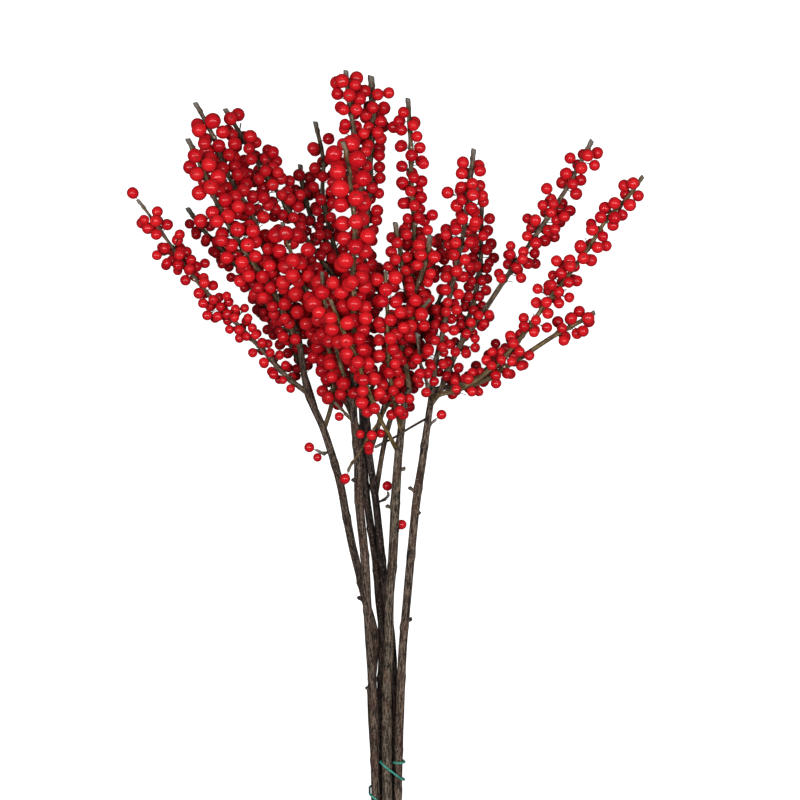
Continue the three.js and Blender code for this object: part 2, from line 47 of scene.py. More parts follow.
stems = {
    "left": {
        "route": [(-7.2, -300, 3), (-8.8, -188, 14.6), (-11, -130, 29.5), (-8.4, -88, 37.5),
            (-15, -59, 42.5), (-20.6, -35, 46), (-24, -21, 48), (-28, 0, 51), (-32.7, 25, 55),
            (-42.8, 59, 60), (-53.6, 85, 64), (-58.6, 117, 71), (-60.4, 127, 74)],
        "radii": [3.2, 2.9, 2.9, 2.8, 2.1],
        "spurs": [[(-31.5, 21, 54.8), (-27, 24, 56)], [(-14, -63, 42), (-19.5, -57, 45.5)]],
    },
    "front": {
        "route": [(-7, -300, 11.2), (-8.2, -188, 28.2), (-9.6, -130, 37), (-12.2, -87, 44),
            (-13.5, -58, 53), (-14.6, -30, 64), (-18.4, 12, 76), (-19, 40, 84), (-21.3, 67, 92),
            (-21.8, 84, 98), (-21, 97, 103)],
        "radii": [2.9, 2.8, 3.1, 3, 3.1, 2.3],
        "spurs": [[(-18.4, 24, 79.5), (-22.6, 27, 80.5)], [(-10, -125, 38), (-14, -121, 39)],
            [(-21.5, 76, 95), (-26, 82, 99)]],
    },
    "backLeft": {
        "route": [(-0.4, -300, 2.9), (-4.8, -188, 20.5), (-4.3, -130, 29), (-3, -88, 33.5),
            (-5.6, -59, 37), (-7.8, -32, 40), (-13.7, 10, 44), (-15.8, 38, 46), (-16.4, 52, 47),
            (-17.8, 80, 48), (-20.4, 97, 50)],
        "radii": [3.1, 2.9, 2.8, 2.7, 2],
        "spurs": [],
    },
    "backRight": {
        "route": [(6.2, -300, 2.8), (6.4, -188, 20.5), (5.2, -130, 29), (3.4, -88, 36), (-0.6, -59, 42.5),
            (-3.2, -31, 46.5), (-7.6, 11, 52), (-11.4, 39, 56), (-12.7, 52, 58), (-13.9, 80, 62),
            (-15.2, 98, 64)],
        "radii": [3, 2.8, 2.8, 2.7, 2],
        "spurs": [],
    },
    "centre": {
        "route": [(0.4, -300, 11.6), (0.3, -188, 28.4), (0, -130, 37.5), (1.4, -94, 45), (2, -58, 52),
            (4.2, -30, 60), (6.2, 12, 70), (8, 39.5, 77), (9.3, 53, 80), (12.7, 80, 84), (16, 88, 84.5)],
        "radii": [3.8, 3.6, 3.5, 3.3, 3.3, 2.2],
        "spurs": [[(7.5, 32, 74.5), (13, 33.5, 75)], [(5.8, 5, 68.5), (0.2, 8.5, 70)]],
    },
    "right": {
        "route": [(7.7, -300, 11), (8.2, -188, 28), (9.7, -130, 38), (11.1, -94, 44), (14.2, -58, 49),
            (16.6, -30, 54), (20.6, 11, 60), (24.7, 39, 63), (28.4, 66, 66), (30.5, 80, 67),
            (31.8, 90, 68)],
        "radii": [2.7, 2.6, 3, 3, 3, 2.2],
        "spurs": [[(19.8, 3, 59), (22.8, 2, 61)], [(21.2, 15, 60.5), (15.8, 20.5, 62)],
            [(12.8, -75, 46.5), (17.5, -72, 48)]],
    },
}

sprays = {
    "left outer": {
        "route": [(-53, 84, 64), (-69, 97, 68), (-84, 114, 72), (-115, 146, 78), (-132, 166, 81),
            (-155, 199, 85), (-166, 214, 88)],
        "bare": 16, "radii": [1.9, 0.9], "scale": 0.9, "tipBerry": True,
    },
    "left upper": {
        "route": [(-58.6, 116, 71), (-64, 128, 77.5), (-76, 154, 90), (-93, 178, 100), (-109, 206, 111),
            (-122, 237, 118), (-128, 249, 121)],
        "bare": 10, "scale": 1.18,
    },
    "left leader": {
        "route": [(-60.6, 128, 74.2), (-66, 142, 75), (-73, 158, 77), (-83, 184, 80), (-91, 206, 83),
            (-105, 229, 86), (-115, 255, 89), (-127, 278, 92)],
        "bare": 8, "scale": 1.16,
    },
    "left lower": {
        "route": [(-58, 114, 70), (-65, 126, 66), (-76, 140, 62), (-86, 151, 57), (-101, 170, 51),
            (-119, 189, 47), (-129, 200, 45), (-139, 214, 43)],
        "bare": 8, "scale": 0.88,
    },
    "left front": {
        "route": [(-42.8, 60, 60), (-38, 75, 63), (-36.3, 87, 68), (-37.3, 107, 76), (-43, 130, 86),
            (-53, 153, 98), (-61, 173, 108), (-67, 195, 118)],
        "bare": 24, "radii": [1.7, 1.1], "scale": 1.2,
    },
    "left resting": {
        "route": [(-48, 72, 61), (-57, 97, 45), (-68, 119, 30), (-82, 139, 18), (-93, 155, 12),
            (-100, 165, 10.6)],
        "bare": 32, "scale": 0.95,
    },
    "left spur": {
        "route": [(-39, 45, 58.7), (-43, 43.5, 60.5), (-48.5, 45.8, 62)],
        "bare": 5, "radii": [0.8, 0.6], "scale": 0.8, "tipBerry": True, "most": 2,
    },
    "front leader": {
        "route": [(-20.9, 99, 103.8), (-20.6, 113, 112), (-20, 144, 132), (-20.3, 162, 143),
            (-18.7, 186, 157), (-21, 209, 168), (-22.4, 226, 175), (-25.3, 237, 179)],
        "bare": 4, "radii": [1.9, 1.2], "scale": 1.28, "pitch": 7.6,
    },
    "front filling": {
        "route": [(-21.5, 79, 96), (-28.6, 100, 108), (-34, 122, 118), (-39, 144, 126),
            (-40.6, 162, 131)],
        "bare": 6, "radii": [1.5, 1], "scale": 1.2,
    },
    "front twiglet": {
        "route": [(-21, 64, 91), (-27, 71, 90), (-34.5, 78.5, 88.5)],
        "bare": 8, "radii": [0.9, 0.7], "scale": 0.85, "tipBerry": True, "most": 2,
    },
    "backLeft leader": {
        "route": [(-20.6, 98.5, 50.2), (-24, 115, 50), (-28.8, 135, 50), (-33.6, 160, 52), (-41, 171, 53),
            (-57.4, 194, 57), (-71, 217, 61), (-89, 244, 66), (-109.5, 278, 71)],
        "bare": 10, "scale": 1.04,
    },
    "backLeft rear": {
        "route": [(-18.8, 88, 48.5), (-22, 104, 42), (-24.4, 116, 38), (-29.3, 157, 34), (-36.4, 186, 34),
            (-44.7, 220, 37), (-44.5, 248, 41), (-49.8, 274, 46)],
        "forks": [[(-36.2, 184, 34), (-45, 195, 30), (-53, 208, 29), (-59.4, 229, 27), (-61.6, 247, 26)]],
        "bare": 12, "scale": 0.98,
    },
    "backLeft resting": {
        "route": [(-16.2, 48, 46.8), (-21, 62, 38), (-29.5, 80, 30), (-42, 109, 17), (-54, 134, 11.6),
            (-60, 156, 10.6), (-62.5, 167, 10.6)],
        "bare": 38, "scale": 0.98,
    },
    "backLeft hidden": {
        "route": [(-17, 62, 47.5), (-18, 80, 40), (-18, 100, 34), (-15.5, 130, 26), (-11, 158, 22),
            (-10.6, 178, 22)],
        "bare": 34, "scale": 0.95,
    },
    "backRight leader": {
        "route": [(-15.3, 99.5, 64.1), (-17.9, 128, 66), (-17.2, 155, 69), (-15.7, 178, 72),
            (-11.6, 222, 77), (-10.9, 242, 80), (-8.8, 268, 83), (-10, 297, 86)],
        "forks": [[(-12.6, 211, 76), (-16, 220, 82), (-18.8, 231, 88), (-22.4, 265, 98),
            (-24.9, 281, 101), (-26.2, 297, 103)]],
        "bare": 12, "radii": [2.3, 2], "scale": 1.02,
    },
    "backRight olive": {
        "route": [(-14, 82, 62.3), (-7.7, 92, 70), (-1.4, 103.5, 80), (4, 116.6, 92), (10.7, 126, 103),
            (19.8, 136, 113), (28.7, 144.6, 122)],
        "bare": 22, "radii": [1.6, 0.9],
    },
    "backRight rear": {
        "route": [(-11.8, 43, 56.7), (-4.6, 66, 48), (5.8, 101, 42), (12.9, 129, 41), (19.8, 150, 41),
            (31.7, 173.5, 43), (42.7, 193, 46), (47.6, 202, 47)],
        "bare": 40, "scale": 0.95,
    },
    "backRight resting": {
        "route": [(-7.8, 13, 52), (-1.2, 52, 36), (9.3, 87, 24), (22.2, 119.5, 14), (34.6, 145, 11),
            (41, 161, 10.6)],
        "bare": 70, "scale": 0.98,
    },
    "backRight spur": {
        "route": [(-6.7, 9, 52.5), (-1.5, 11.5, 56), (1.2, 14.5, 58), (1, 16.5, 58.6)],
        "bare": 12, "radii": [0.9, 0.7], "scale": 0.78, "tipBerry": True, "most": 1,
    },
    "centre leader": {
        "route": [(15.5, 87, 84.4), (13, 103, 84), (10.7, 120, 85), (15.3, 143.5, 87), (17.3, 173, 90),
            (18.7, 196, 93), (16.7, 226, 96), (16.6, 245, 98), (14.6, 279, 101)],
        "forks": [[(15.6, 147, 87.2), (11.3, 163, 96), (10, 175.5, 102), (6, 196, 110)],
            [(15.8, 149, 87.3), (21.2, 157, 100), (26.9, 173, 110), (28.8, 187, 116)]],
        "bare": 8, "scale": 0.98,
    },
    "centre olive": {
        "route": [(6.5, 47.5, 80), (1.4, 58, 95), (-3.8, 68, 106), (-13, 91, 124), (-17.6, 104, 131),
            (-26.8, 124.4, 140), (-34.7, 143.5, 146)],
        "bare": 46, "radii": [1.5, 0.9], "scale": 1.05,
    },
    "centre hanging": {
        "route": [(11.5, 79, 86), (2.7, 78, 88), (-4, 66.7, 91), (-10.6, 57, 96), (-17, 45.6, 99),
            (-22.4, 38.4, 100), (-25, 32.5, 100)],
        "bare": 32, "radii": [1, 0.7], "scale": 0.8, "pitch": 10, "tipBerry": True, "most": 5,
    },
    "centre inner": {
        "route": [(9.8, 59, 81.5), (5.5, 80, 97), (2, 100, 107), (1.5, 113, 113), (1, 138, 125),
            (0, 162, 133)],
        "bare": 20, "radii": [1.4, 0.9], "scale": 1.05,
    },
    "centre spur": {
        "route": [(5.5, -12, 64), (7.5, -11, 61.5), (8.3, -9.5, 60.8)],
        "bare": 9, "radii": [0.8, 0.6], "scale": 0.78, "tipBerry": True, "most": 1,
    },
    "right leader": {
        "route": [(31.9, 91.5, 68.1), (33.8, 107, 71), (37, 120, 75), (41.6, 144, 81), (47.3, 172, 89),
            (50.6, 186, 93), (53.6, 209, 98), (56.7, 235, 103), (58, 245, 105)],
        "forks": [[(53.6, 208, 97.8), (57, 214, 101), (60.6, 219, 104)]],
        "bare": 14,
    },
    "right wide": {
        "route": [(30.2, 77, 66.9), (37, 87, 65), (42, 99.5, 64), (52.4, 121, 65), (66, 140, 67),
            (79.4, 160, 69), (99.6, 189, 72), (112.8, 209, 75), (124.2, 227, 77), (138.6, 255, 80)],
        "forks": [[(51.4, 119, 64.9), (56.2, 135, 57), (60.6, 149, 52), (63.5, 163.4, 48),
            (65.7, 181, 45), (65.8, 199, 43), (66.7, 218, 41)]],
        "bare": 20, "radii": [2, 1.4], "scale": 0.96,
        "gaps": [(74, 99), (124, 132), (164, 176), (182, 189)],
    },
    "right outer": {
        "route": [(30.8, 81, 69), (37, 84, 76), (51, 88, 83), (69.4, 100, 88), (84.5, 115, 92),
            (104, 141, 96), (117, 158, 99), (134.5, 182, 102), (146, 200, 104), (157, 211, 106),
            (168.5, 226.5, 108)],
        "forks": [[(50.5, 88, 82.8), (60, 91, 80), (70, 95.5, 78), (90.6, 108.4, 74), (114.4, 124, 74),
            (134.4, 134.8, 76), (141, 139.5, 77)]],
        "bare": 20, "radii": [1.8, 1.2], "scale": 0.95, "forkPitch": 11,
        "gaps": [(40, 50), (77, 87), (96, 103)], "forkGaps": [(55, 77)],
    },
    "right inner": {
        "route": [(30, 82, 68), (26.9, 93.5, 78), (23.3, 103.3, 88), (21.9, 113, 96), (20.5, 124, 103)],
        "bare": 10, "radii": [1.3, 0.9], "scale": 0.95,
    },
    "right crossing": {
        "route": [(28.4, 68, 67), (20, 63.5, 78), (12, 59, 87), (4, 54, 82), (-3, 50.5, 80),
            (-7.5, 48.3, 79.5)],
        "bare": 70, "radii": [0.9, 0.7], "scale": 0.76, "tipBerry": True, "most": 1,
    },
    "right resting": {
        "route": [(28.5, 67, 65.5), (33, 86, 45), (48, 90, 30), (66.5, 98.5, 18), (85, 114.6, 12),
            (98, 128, 10.6)],
        "bare": 44, "scale": 0.95,
    },
    "right spur": {
        "route": [(28, 61, 65.7), (31, 64.5, 67), (34, 67, 67.5)],
        "bare": 9, "radii": [0.8, 0.6], "scale": 0.78, "tipBerry": True, "most": 1,
    },
}

millimetre = 0.001


def inMetres(item):
    if isinstance(item, (list, tuple)):
        return type(item)(inMetres(part) for part in item)
    return round(item * millimetre, 7)


for growth in [*stems.values(), *sprays.values()]:
    for key in growth.keys() - {"scale", "tipBerry", "most"}:
        growth[key] = inMetres(growth[key])

branches = {name: {**stem, "sprays": {}} for name, stem in stems.items()}
for fullName, spray in sprays.items():
    name, kind = fullName.split()
    branches[name]["sprays"][kind] = spray

twigRadii = [0.0019, 0.0014]
spurRadii = [0.0012, 0.0009]

seeds = {"berries": 100, "nextBerries": 37, "filling": 5000, "stem": 700, "shoots": 8000, "fruit": 9000}


def makeRandom(seed):
    # the same draws from 0 to 1 on each run, for a seed
    state, multiplier, modulus = seed, 16807, 2147483647

    def draw():
        nonlocal state
        state = (state * multiplier) % modulus
        return state / modulus

    return draw


def randomFor(kind, name):
    return makeRandom(seeds[kind] + list(branches).index(name))


def unit(vector):
    return vector / np.linalg.norm(vector)


justShort = 0.999999  # of the whole


def along(values, share):
    # a value read along a list that is spread evenly over 0 to 1
    place = min(share, justShort) * (len(values) - 1)
    index = int(place)
    return values[index] + (values[index + 1] - values[index]) * (place - index)


class Route:
    # a smooth curve through points, read by the share of its length

    def __init__(self, points, marks=200):
        self.points = np.array(points, float)
        self.shares = np.linspace(0, 1, marks + 1)
        spots = np.array([self.spot(share) for share in self.shares])
        steps = np.linalg.norm(np.diff(spots, axis=0), axis=1)
        self.reaches = np.concatenate([[0], np.cumsum(steps)])
        self.length = self.reaches[-1]

    def spot(self, place):
        points = self.points
        place = place * (len(points) - 1)
        index = min(int(place), len(points) - 2)
        w = place - index
        start, end = points[index], points[index + 1]
        before = points[index - 1] if index > 0 else 2 * start - end
        after = points[index + 2] if index + 2 < len(points) else 2 * end - start
        leave, arrive = (end - before) / 2, (after - start) / 2
        return (start + leave * w + (3 * (end - start) - 2 * leave - arrive) * w ** 2
                + (2 * (start - end) + leave + arrive) * w ** 3)

    def placeOf(self, share):
        return float(np.interp(share * self.length, self.reaches, self.shares))

    def pointAt(self, share):
        return self.spot(self.placeOf(share))

    def tangentAt(self, share, step=0.0001):
        place = self.placeOf(share)
        return unit(self.spot(min(1, place + step)) - self.spot(max(0, place - step)))

    def frameAt(self, share):
        # tangent, side and rise, with the side kept level
        tangent = self.tangentAt(share)
        side = unit(np.cross((0, 0, 1), tangent))
        return tangent, side, np.cross(tangent, side)


def wayOut(axes, angle, lean=0):
    # out from a route at an angle round it, leaning along it
    tangent, side, rise = axes
    return side * math.cos(angle) + rise * math.sin(angle) + tangent * lean


berryValues = {
    "radius": 0.0044,
    "spread": 0.16,  # how much the berries of one spray differ in size
    "foot": 0.78,  # size near the foot of a shoot, as a share of that at its tip
    "stalk": 0.0013,  # the typical one
    "shortestStalk": 0.5,  # of the typical one, and the longest is as much over it
    "tipRoot": 0.0008,  # depth of the root of a berry at a twig's very end
    "pitch": 0.0080,  # from one group of berries to the next
    "pitchSpread": 1.1,
    "groupLength": 0.007,
    "fewest": 2,  # berries in a group
    "range": 4.4,
    "attempts": 8,  # turns that a berry tries, a radian apart
    "lean": 0.5,  # how far a stalk may lean towards the tip
    "tipBare": 0.008,
    "tipShare": 0.25,  # the most of a short spur that is bare at its tip
    "lastShare": 0.995,  # of a shoot's length, where its last berry may sit
    "turn": 2.4,  # between neighbouring groups, radians
    "groupSpread": 1.3,  # between the berries of one group, radians
    "gap": 0.0001,  # between berries of one spray
    "sprayGap": 0.0006,
    "woodGap": 0.0003,
    "most": 400,  # berries of one shoot
    "settleReach": 0.0015,  # a berry this near the table rests on it
    "settledHeight": 0.84,  # of its radius
    "forkBare": 0.007,
}

fillValues = {
    "pitch": 0.0054,
    "pitchLeast": 0.3,  # of the pitch
    "pitchSpread": 1.4,
    "stalks": [0.0008, 0.002, 0.0032, 0.0044, 0.0056],
    # denser lengths of some shoots, with berries on longer stalks
    "clumps": {
        "left outer": [(0.057, 0.084), (0.109, 0.141)],
        "left leader": [(0.060, 0.135)],
        "left upper": [(0.040, 0.110)],
        "left front": [(0.050, 0.130)],
        "backLeft leader": [(0.120, 0.170)],
        "backRight leader": [(0.155, 0.185)],
        "front leader": [(0.020, 0.070)],
        "centre leader": [(0.040, 0.120)],
        "right leader": [(0.090, 0.132)],
        "right wide": [(0.099, 0.122), (0.132, 0.164)],
        "right outer": [(0.110, 0.132)],
    },
    "clumpPitch": 0.4,  # of the usual one
    "clumpStalks": [0.0070, 0.0085],
    "swings": [0, 1.1, 2.2],
    "spread": 0.12,
    "lean": 0.6,
    "tipBare": 0.010,
    "tight": 0.25,  # of the gap to other sprays
    "shortest": 0.03,
}


class Bunch:
    # the berries that have found a place, and the wood that they keep clear of

    def __init__(self):
        self.berries = []
        self.centres = np.empty((0, 3))
        self.radii = np.empty(0)
        self.sprays = np.empty(0, int)
        self.starts = np.empty((0, 3))
        self.ends = np.empty((0, 3))
        self.thickness = np.empty(0)

    def addWood(self, points, radii, step=0.005):
        route = Route(points)
        count = max(2, round(route.length / step))
        spots = np.array([route.pointAt(i / count) for i in range(count + 1)])
        self.starts = np.vstack([self.starts, spots[:-1]])
        self.ends = np.vstack([self.ends, spots[1:]])
        thickness = [along(radii, i / count) for i in range(1, count + 1)]
        self.thickness = np.concatenate([self.thickness, thickness])

    def isClear(self, spray, centre, radius, tight):
        gaps = np.where(self.sprays == spray, berryValues["gap"], berryValues["sprayGap"] * tight)
        apart = np.linalg.norm(self.centres - centre, axis=1)
        if np.any(apart <= self.radii + radius + gaps):
            return False
        lines = self.ends - self.starts
        share = np.sum((centre - self.starts) * lines, axis=1) / np.sum(lines * lines, axis=1)
        feet = self.starts + lines * np.clip(share, 0, 1)[:, None]
        reach = np.linalg.norm(feet - centre, axis=1) - self.thickness
        return bool(np.all(reach > radius + berryValues["woodGap"]))

    def place(self, spray, root, way, twigReach, stalk, radius, tight=1.0):
        values = berryValues
        centre = root + way * (twigReach + stalk + radius)
        sunk = centre[2] < radius - values["settleReach"]
        if centre[2] < radius + values["settleReach"]:
            centre = np.array([centre[0], centre[1], radius * values["settledHeight"]])
        placed = not sunk and self.isClear(spray, centre, radius, tight)
        if placed:
            self.berries.append({"spray": spray, "root": root, "centre": centre, "radius": radius})
            self.centres = np.vstack([self.centres, centre])
            self.radii = np.append(self.radii, radius)
            self.sprays = np.append(self.sprays, spray)
        return placed


def berrySize(spray, share):
    grown = berryValues["foot"] + (1 - berryValues["foot"]) * share
    return berryValues["radius"] * spray.get("scale", 1) * grown


def pastGaps(reach, gaps):
    # a place along a shoot, or the end of the bare length that it falls in
    for start, end in gaps:
        if start < reach < end:
            return end
    return reach


def growBerries(bunch, index, spray, route, bare, pitch, gaps, seed):
    # groups of berries sit on short stalks, each group turned on from the last
    values = berryValues
    random = makeRandom(seed)
    radii = spray.get("radii", twigRadii)
    left = spray.get("most", values["most"])
    if spray.get("tipBerry"):
        way = route.tangentAt(1)
        bunch.place(index, route.pointAt(1) - way * values["tipRoot"], way, values["tipRoot"],
                    values["stalk"], berrySize(spray, 1))
        left -= 1
    group = 0
    reach = pastGaps(bare, gaps)
    knots = []
    last = route.length - min(values["tipBare"], values["tipShare"] * route.length)
    while left > 0 and reach < last:
        count = values["fewest"] + int(random() * values["range"])
        turn = group * values["turn"] + random()
        group += 1
        knots.append((reach, turn))
        for k in range(count):
            grown = 1 - values["spread"] / 2 + values["spread"] * random()
            offset = values["groupLength"] * (random() - 0.5)
            share = min(values["lastShare"], max(0, (reach + offset) / route.length))
            radius = grown * berrySize(spray, share)
            stalk = values["stalk"] * (values["shortestStalk"] + random())
            lean = values["lean"] * random()
            root, axes, twigReach = route.pointAt(share), route.frameAt(share), along(radii, share)
            for attempt in range(values["attempts"]):
                angle = turn + (k - (count - 1) / 2) * values["groupSpread"] + attempt
                way = unit(wayOut(axes, angle, lean))
                if left > 0 and bunch.place(index, root, way, twigReach, stalk, radius):
                    left -= 1
                    break
        step = pitch * (1 - values["pitchSpread"] / 2 + values["pitchSpread"] * random())
        reach = pastGaps(reach + step, gaps)
    return knots


def fillBerries(bunch, index, spray, twig, bare, seed):
    # a second layer, on longer stalks, fills the clusters from the wood outwards
    values = fillValues
    route, radii = twig["route"], twig["radii"]
    random = makeRandom(seed)
    reach = bare
    while reach < route.length - values["tipBare"]:
        isCrowded = any(start < reach < end for start, end in twig["clumps"])
        stalks = values["stalks"] + (values["clumpStalks"] if isCrowded else [])
        share = reach / route.length
        root, axes, twigReach = route.pointAt(share), route.frameAt(share), along(radii, share)
        radius = berrySize(spray, share) * (1 - values["spread"] * random())
        turn = random() * 2 * math.pi
        lean = values["lean"] * random()
        tries = [(stalk, turn + swing) for stalk in stalks for swing in values["swings"]]
        for stalk, angle in tries:
            way = unit(wayOut(axes, angle, lean))
            if bunch.place(index, root, way, twigReach, stalk, radius, values["tight"]):
                break
        grown = values["pitchLeast"] + values["pitchSpread"] * random()
        step = values["pitch"] * twig["density"] * grown
        reach = pastGaps(reach + step * (values["clumpPitch"] if isCrowded else 1), twig["gaps"])


def growBunch():
    bunch = Bunch()
    for branch in branches.values():
        bunch.addWood(branch["route"], branch["radii"])
        for spray in branch["sprays"].values():
            bunch.addWood(spray["route"], spray.get("radii", twigRadii))
            for fork in spray.get("forks", []):
                bunch.addWood(fork, twigRadii)
    seed = seeds["berries"]
    index = 0
    twigs = []
    for name, branch in branches.items():
        for kind, spray in branch["sprays"].items():
            for points in [spray["route"], *spray.get("forks", [])]:
                seed += seeds["nextBerries"]
                isMain = points is spray["route"]
                route = Route(points)
                bare = spray["bare"] if isMain else berryValues["forkBare"]
                pitch = spray.get("pitch", berryValues["pitch"])
                pitch = pitch if isMain else spray.get("forkPitch", pitch)
                gaps = spray.get("gaps" if isMain else "forkGaps", [])
                knots = growBerries(bunch, index, spray, route, bare, pitch, gaps, seed)
                radii = spray.get("radii", twigRadii) if isMain else twigRadii
                clumps = fillValues["clumps"].get(name + " " + kind, []) if isMain else []
                twigs.append({"branch": name, "kind": kind, "spray": index, "route": route, "radii": radii,
                              "knots": knots, "density": pitch / berryValues["pitch"], "gaps": gaps,
                              "clumps": clumps})
            index += 1
    print("first layer:", len(bunch.berries))
    for number, twig in enumerate(twigs):
        spray = branches[twig["branch"]]["sprays"][twig["kind"]]
        if twig["route"].length > fillValues["shortest"] and "most" not in spray:
            bare = twig["knots"][0][0] if twig["knots"] else spray["bare"]
            fillBerries(bunch, twig["spray"], spray, twig, bare, seeds["filling"] + number)
    return bunch, twigs


bunch, twigs = growBunch()
print("berries placed:", len(bunch.berries))


def finishPiece(bm, name, look, nodes, levels=0):
    mesh = bpy.data.meshes.new(name)
    bm.to_mesh(mesh)
    bm.free()
    mesh.shade_smooth()
    mesh.materials.append(look.material)
    piece = bpy.data.objects.new(name, mesh)
    bpy.context.scene.collection.objects.link(piece)
    if levels:
        smooth = piece.modifiers.new("smooth", "SUBSURF")
        smooth.levels = levels
        smooth.render_levels = levels
    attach(piece, "root")
    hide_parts(*nodes)


def spinForm(name, profile, steps):
    # a small closed form turned from its outline, which starts and ends on the Z axis
    bm = bmesh.new()
    corners = [bm.verts.new((x, 0, z)) for x, z in profile]
    edges = [bm.edges.new(pair) for pair in zip(corners, corners[1:])]
    bmesh.ops.spin(bm, geom=corners + edges, axis=(0, 0, 1), cent=(0, 0, 0), dvec=(0, 0, 0),
                   angle=2 * math.pi, steps=steps, use_merge=True, use_duplicate=False)
    bmesh.ops.remove_doubles(bm, verts=bm.verts, dist=0.0001)
    bmesh.ops.recalc_face_normals(bm, faces=bm.faces)
    mesh = bpy.data.meshes.new(name)
    bm.to_mesh(mesh)
    bm.free()
    return mesh


def stamp(bm, form, matrix, **marks):
    # puts a copy of a form in a mesh, and marks its corners for the materials
    count = len(bm.verts)
    bm.from_mesh(form)
    bm.verts.ensure_lookup_table()
    corners = bm.verts[count:]
    bmesh.ops.transform(bm, matrix=matrix, verts=corners)
    for name, value in marks.items():
        layer = bm.verts.layers.float[name]
        for corner in corners:
            corner[layer] = value


def standUp(place, way, scale, roll=0.0):
    # a matrix that puts a form's foot at a place, with its Z axis along a way
    turn = Vector(way).to_track_quat("Z", "Y").to_matrix().to_4x4()
    turn = turn @ Matrix.Rotation(roll, 4, "Z")
    return Matrix.LocRotScale(Vector(place), None, None) @ turn @ Matrix.Diagonal((*scale, 1))


def newMesh(*marks):
    bm = bmesh.new()
    for name in marks:
        bm.verts.layers.float.new(name)
    return bm


endValues = {"rim": 0.22, "markReach": 0.9}  # of a cut end's radius


def growWood(bm, route, radiusAt, sides, step, seed, slant=(0.0, 0.0), **marks):
    # a closed round of wood bent along a route. grain holds each corner's place across and along it,
    # and a mark is a number or a function of the share of the length
    part = bmesh.new()
    bmesh.ops.create_cone(part, cap_ends=True, segments=sides, radius1=1, radius2=1, depth=1)
    lengthwise = [edge for edge in part.edges if abs(edge.verts[0].co.z - edge.verts[1].co.z) > 0.5]
    rings = max(2, round(route.length / step))
    bmesh.ops.subdivide_edges(part, edges=lengthwise, cuts=rings - 1, use_grid_fill=True)
    ends = [face for face in part.faces if len(face.verts) == sides]
    bmesh.ops.inset_individual(part, faces=ends, thickness=endValues["rim"])
    ends = [face for face in part.faces if len(face.verts) == sides]
    bmesh.ops.poke(part, faces=ends)
    grain = part.verts.layers.float_vector.new("grain")
    cut = part.verts.layers.float.new("cut")
    layers = [(part.verts.layers.float.new(name), value) for name, value in marks.items()]
    frames = {}
    for corner in part.verts:
        x, y, z = corner.co
        share = min(1.0, max(0.0, z + 0.5))
        key = round(share, 6)
        if key not in frames:
            frames[key] = (route.pointAt(share), *route.frameAt(share))
        point, tangent, side, rise = frames[key]
        angle = math.atan2(y, x)
        radius = radiusAt(share, angle, seed)
        lean = x * radius * (slant[0] if share == 0 else slant[1] if share == 1 else 0)
        corner.co = Vector(point + side * x * radius + rise * y * radius + tangent * lean)
        corner[grain] = Vector((x * radius, y * radius, share * route.length + seed))
        corner[cut] = 1.0 if share == 0 and math.hypot(x, y) < endValues["markReach"] else 0.0
        for layer, value in layers:
            corner[layer] = value(share) if callable(value) else value
    mesh = bpy.data.meshes.new("part")
    part.to_mesh(mesh)
    part.free()
    bm.from_mesh(mesh)
    bpy.data.meshes.remove(mesh)


class Value:
    # a socket that can be reckoned with: + - and * add Math nodes

    def __init__(self, look, socket):
        self.look = look
        self.socket = socket

    def maths(self, operation, *others, flip=False):
        terms = [self, *others]
        if flip:
            terms.reverse()
        return self.look.node("ShaderNodeMath", {"operation": operation}, dict(enumerate(terms)))

    def __add__(self, other):
        return self.maths("ADD", other)

    __radd__ = __add__

    def __mul__(self, other):
        return self.maths("MULTIPLY", other)

    __rmul__ = __mul__

    def __sub__(self, other):
        return self.maths("SUBTRACT", other)

    def __rsub__(self, other):
        return self.maths("SUBTRACT", other, flip=True)


millimetres = (1000, 1000, 1000)  # to the metre, along each axis


class Look:
    # a material on the Principled shader, made node by node

    def __init__(self, name):
        self.material = bpy.data.materials.new(name)
        self.material.use_nodes = True
        self.tree = self.material.node_tree
        self.shader = self.tree.nodes["Principled BSDF"]

    def set(self, socket, value):
        self.join(value, self.shader.inputs[socket])

    def join(self, value, socket):
        if isinstance(value, Value):
            self.tree.links.new(value.socket, socket)
        else:
            socket.default_value = value

    def node(self, kind, settings=None, sockets=None, out=0):
        made = self.tree.nodes.new(kind)
        for name, value in (settings or {}).items():
            setattr(made, name, value)
        for socket, value in (sockets or {}).items():
            self.join(value, made.inputs[socket])
        return Value(self, made.outputs[out])

    def mark(self, name, out="Fac"):
        return self.node("ShaderNodeAttribute", {"attribute_name": name}, out=out)

    def stretch(self, vector, scale):
        return self.node("ShaderNodeMapping", sockets={"Vector": vector, "Scale": scale})

    def place(self):
        # the object's own coordinates, in millimetres
        return self.stretch(self.node("ShaderNodeTexCoord", out="Object"), millimetres)

    def clouds(self, vector, scale, detail=3.0, roughness=0.5):
        return self.node("ShaderNodeTexNoise", sockets={
            "Vector": vector, "Scale": scale, "Detail": detail, "Roughness": roughness})

    def spots(self, vector, scale):
        return self.node("ShaderNodeTexVoronoi", sockets={"Vector": vector, "Scale": scale}, out="Distance")

    def fade(self, value, low, high):
        # 0 at low and 1 at high, with a smooth start and end
        return self.node("ShaderNodeMapRange", {"interpolation_type": "SMOOTHSTEP"}, {
            "Value": value, "From Min": low, "From Max": high})

    def mix(self, share, first, second):
        return self.node("ShaderNodeMix", {"data_type": "RGBA"}, {0: share, 6: first, 7: second}, out=2)

    def relief(self, height, distance, strength=1.0):
        bump = self.node("ShaderNodeBump", sockets={"Height": height, "Distance": distance,
                                                    "Strength": strength})
        self.set("Normal", bump)


def colour(red, green, blue):
    return (red, green, blue, 1.0)


